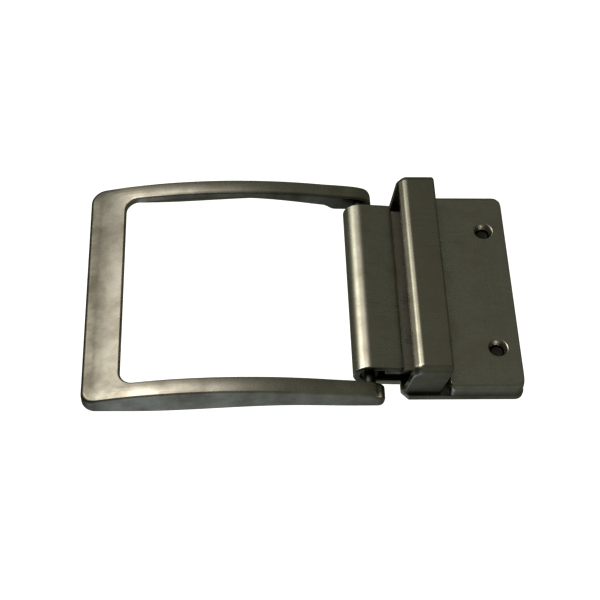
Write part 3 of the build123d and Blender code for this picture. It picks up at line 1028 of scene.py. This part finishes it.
def keeper_painted_shade(x, y, z):
    """Painted shade: darker towards the feet, and on the outer half of the planed-off edge."""
    planed = PLANED_PAINTED_SHADE * smooth_step(-x, *PLANED_PAINTED_SHADE_X) * smooth_step(z, *PLANED_PAINTED_SHADE_Z)
    return FOOT_PAINTED_SHADE * smooth_step(-z, *FOOT_PAINTED_SHADE_Z) + planed


def lid_painted_shade(x, y, z):
    """Painted shade low on the turned-down sides, and on the tail that hides under the lip."""
    side = SIDE_PAINTED_SHADE * smooth_step(-z, *SIDE_PAINTED_SHADE_Z) * (np.abs(y) > LID_HALF - SHEET)
    return side + TAIL_PAINTED_SHADE * (x < TAIL_PAINTED_SHADE_X)


def base_painted_shade(x, y, z):
    """Painted shade on the rolled part's cut ends, and round the plate's rim."""
    neck = NECK_PAINTED_SHADE * (z > SHEET) * (np.abs(y) > NECK_HALF - NECK_MARGIN)
    return neck + RIM_PAINTED_SHADE * (np.abs(y) > PLATE_HALF - RIM_MARGIN)


def pin_painted_shade(x, y, z):
    """Painted shade all over."""
    return np.ones_like(x)


for piece, formula in (
    (keeper, keeper_painted_shade),
    (clamp_lid, lid_painted_shade),
    (clamp_base, base_painted_shade),
    (hinge_pin, pin_painted_shade),
):
    paint_shade(piece, formula)

# %% [markdown]
# ## Antique nickel
#
# The plate is satin, not polished: fine brushing along the strap, clouds of tarnish a few
# millimetres across, tiny pits and stray scratches. Tarnish is darker, a little olive and duller.
# The worn edges are brighter and smoother. Each piece's painted shade darkens the base colour. Height
# goes only to Bump, and every other effect goes to the base colour or the roughness.

# %% The plated finish
CLOUD_SCALE, CLOUD_BAND = 210.0, (0.36, 0.68)
BRUSHING = (220, 1700, 1700)
SCRATCHES, SCRATCH_BAND = (70, 1900, 1900), (0.70, 0.80)
PIT_SCALE, PIT_BAND = 1500.0, (0.69, 0.78)
UNEVEN_SCALE = 380.0
TARNISH_BAND = (0.1, 0.95)
PAINTED_SHADE_FACTOR = 0.22
PIT_SHADE = 0.35
BUMP_STRENGTH = 0.05
BUMP_DISTANCE = 0.00003


def shade(colour, factor=1.0):
    """The colour times a factor, with full alpha."""
    return (*[channel * factor for channel in colour], 1)


def antique_nickel(name, bright, dark, rough, wear):
    """bright and dark are the clean and the tarnished colour, rough the satin's middle roughness.

    Tarnish is mostly clouds with a little grain, less half of the worn edges' shine. Painted shade and
    pits are mixed over it, in the dark colour times their factors. Roughness rises with the clouds and
    the grain, and falls with shine and scratches. Height is a little of all that is raised or cut.
    """
    material = bpy.data.materials.new(name)
    g = Graph(material)
    place_at = g.add("ShaderNodeTexCoord", output=3)
    edge = g.add("ShaderNodeAttribute", {"attribute_name": "edge"}, output=2)
    painted_shade = g.add("ShaderNodeAttribute", {"attribute_name": "painted_shade"}, output=2)
    clouds = g.band(g.noise(place_at, CLOUD_SCALE, 5.0, 0.6), *CLOUD_BAND)
    grain = g.noise(g.stretch(place_at, BRUSHING), 1.0, 2.0)
    scratch = g.band(g.noise(g.stretch(place_at, SCRATCHES), 1.0, 1.0), *SCRATCH_BAND)
    pits = g.band(g.noise(place_at, PIT_SCALE, 2.0), *PIT_BAND)
    shine = g.band(edge, 0.0, 1.0) * wear
    tarnish = g.band(clouds * 0.85 + grain * 0.15 - shine * 0.5, *TARNISH_BAND)
    colour = g.mix(tarnish, shade(bright), shade(dark))
    # Painted shade: the colour goes towards the dark colour times its factor where the piece's attribute
    # says.
    colour = g.mix(painted_shade * (0.75 + clouds * 0.2), colour, shade(dark, PAINTED_SHADE_FACTOR))
    colour = g.mix(pits * 0.15, colour, shade(dark, PIT_SHADE))
    roughness = rough - 0.05 + clouds * 0.09 + (grain - 0.5) * 0.06 - shine * 0.08 - scratch * 0.06
    height = grain * 0.3 + scratch * 0.35 + g.noise(place_at, UNEVEN_SCALE, 2.0) * 0.8
    bump = {"Strength": BUMP_STRENGTH, "Distance": BUMP_DISTANCE, "Height": height}
    normal = g.add("ShaderNodeBump", {}, bump)
    g.surface(colour, roughness, {"Normal": normal, "Metallic": 1.0})
    return material


FINISHES = [
    # slot, name, clean colour, tarnished colour, roughness, how much edge wear shows
    ("cast_frame", "antique_nickel_cast", (0.66, 0.635, 0.59), (0.35, 0.32, 0.275), 0.29, 0.15),
    ("pressed_sheet", "antique_nickel_sheet", (0.57, 0.57, 0.52), (0.37, 0.335, 0.285), 0.31, 0.5),
    ("keeper_sheet", "antique_nickel_keeper", (0.44, 0.435, 0.38), (0.29, 0.26, 0.215), 0.30, 0.5),
    # The pin is steel, and its colours are also kept dark as painted shade for the shaded gap it stands
    # in.
    ("pin_steel", "plated_steel_pin", (0.26, 0.26, 0.24), (0.12, 0.12, 0.11), 0.36, 0.5),
    # The screws' near-black colour is painted shade, so that the holes read dark.
    ("screw_steel", "blackened_screw_steel", (0.10, 0.10, 0.095), (0.04, 0.04, 0.037), 0.42, 0.5),
]
finishes = {slot: antique_nickel(*numbers) for slot, *numbers in FINISHES}
print("finishes:", ", ".join(material.name for material in finishes.values()))

# %% [markdown]
# ## Which piece stands for which node
#
# Each piece takes over from its CAD node, rides on that node's body, and takes its finish from the
# record's slot.

# %% Dress the frame
DRESS = [
    # piece, node, body, slot
    (cast_frame, "frame", "frame", "cast_frame"),
    (hinge_pin, "hinge_pin", "frame", "pin_steel"),
    (clamp_base, "clamp_base", "clamp", "pressed_sheet"),
    (clamp_lid, "clamp_lid", "lid", "pressed_sheet"),
    (keeper, "keeper_loop", "clamp", "keeper_sheet"),
    (screw_far, "clamp_screw_far", "screw_far", "screw_steel"),
    (screw_near, "clamp_screw_near", "screw_near", "screw_steel"),
]
for piece, node, body, slot in DRESS:
    piece.data.materials.clear()
    piece.data.materials.append(finishes[slot])
    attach(piece, body)
    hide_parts(node)
    print(f"{piece.name} stands for {node} on {body}")

# %% [markdown]
# ## Floor, light and camera
#
# Satin metal shows what is around it, so the room is the light: a world of a few soft patches on a
# dim ground. The patch that matters most is high on the left behind the buckle. It is what runs
# along the rolled barrel and washes over the end bar. The floor is left out of the reflections,
# because a white table mirrored in the side walls would make dark metal look like chrome. It lies
# well below the buckle, so that the frame can hang down from its hinge.

# %% The floor
FLOOR_DROP = 0.05
FLOOR_REACH = 3.0
FLOOR_COLOUR = (0.86, 0.86, 0.85)
FLOOR_ROUGHNESS = 0.9
FLOOR_GLOW = {"Emission Color": (1, 1, 0.99, 1), "Emission Strength": 0.90}


def make_floor():
    """One pale, faintly glowing square."""
    mesh = bpy.data.meshes.new("floor")
    square = [(-1, -1), (1, -1), (1, 1), (-1, 1)]
    mesh.from_pydata([(FLOOR_REACH * x, FLOOR_REACH * y, 0) for x, y in square], [], [(0, 1, 2, 3)])
    floor = bpy.data.objects.new("floor", mesh)
    bpy.context.scene.collection.objects.link(floor)
    floor.location.z = -FLOOR_DROP
    floor.visible_glossy = False
    material = bpy.data.materials.new("pale_floor")
    Graph(material).surface(shade(FLOOR_COLOUR), FLOOR_ROUGHNESS, FLOOR_GLOW)
    mesh.materials.append(material)
    print(f"floor {FLOOR_DROP / MM:.0f} mm below the buckle")


make_floor()

# %% [markdown]
# A lamp would give a satin surface a hard spot. A patch that fades smoothly gives it the broad sheen
# that a window does, and it costs no noise, because the world has no edges to find.

# %% The room as soft patches of light
PATCHES = [
    # name, direction towards the patch, how tight it is, colour
    ("high window", (-0.313, 0.356, 0.881), 53.0, (2.90, 2.70, 2.35)),
    ("low window", (-0.757, 0.288, 0.586), 29.0, (6.70, 6.50, 5.40)),
    ("table", (-0.45, -0.55, -0.70), 10.0, (0.41, 0.47, 0.53)),
    ("room behind", (0.25, -0.85, 0.45), 4.0, (0.06, 0.06, 0.057)),
]
GROUND = (0.067, 0.072, 0.050)


def make_room():
    """Sum over the patches of colour * exp(tightness * (direction . patch - 1)), on a dim ground."""
    world = bpy.data.worlds.new("soft_room")
    bpy.context.scene.world = world
    g = Graph(world)
    look = g.add("ShaderNodeTexCoord", output=0)
    total = shade(GROUND)
    plus = {"data_type": "RGBA", "blend_type": "ADD", "clamp_factor": False}
    for name, direction, tightness, colour in PATCHES:
        aim = Vector(direction).normalized()
        dot = g.add("ShaderNodeVectorMath", {"operation": "DOT_PRODUCT"}, {0: look, 1: aim}, 1)
        glow = g.add("ShaderNodeMath", {"operation": "EXPONENT"}, {0: (dot - 1.0) * tightness})
        total = g.add("ShaderNodeMix", plus, {0: glow, 6: total, 7: shade(colour)}, 2)
        print(f"{name}: {math.degrees(math.asin(aim.z)):.0f} degrees up")
    back = g.add("ShaderNodeBackground", {}, {"Color": total})
    g.add("ShaderNodeOutputWorld", {}, {"Surface": back})


make_room()

# %% [markdown]
# The camera looks down on the buckle from in front, a little from the left, through a long lens.

# %% The camera
SENSOR_MM = 36.0
CLIP_FROM, CLIP_TO = 0.01, 10.0


def make_camera(aim_mm, azimuth, elevation, roll, distance, lens):
    """Looks at a point from an azimuth (0 looks along +Y), an elevation and a distance, then rolls."""
    a, e, r = (math.radians(v) for v in (azimuth, elevation, roll))
    back = Vector((math.sin(a) * math.cos(e), -math.cos(a) * math.cos(e), math.sin(e)))
    right = Vector((math.cos(a), math.sin(a), 0))
    up = back.cross(right)
    rolled = right * math.cos(r) - up * math.sin(r)
    turned_up = right * math.sin(r) + up * math.cos(r)
    data = bpy.data.cameras.new("camera")
    data.lens = lens
    data.sensor_width = SENSOR_MM
    data.clip_start = CLIP_FROM
    data.clip_end = CLIP_TO
    camera = bpy.data.objects.new("camera", data)
    bpy.context.scene.collection.objects.link(camera)
    matrix = Matrix((rolled, turned_up, back)).transposed().to_4x4()
    matrix.translation = (Vector(aim_mm) + back * distance) * MM
    camera.matrix_world = matrix
    bpy.context.scene.camera = camera
    print(f"camera {distance:.0f} mm away, {elevation:.1f} degrees up")


make_camera(
    aim_mm=(-0.07, 0.22, 0.0), azimuth=-6.38, elevation=56.65, roll=-5.31, distance=235.0, lens=83.7
)
bpy.context.scene.view_settings.view_transform = "Standard"
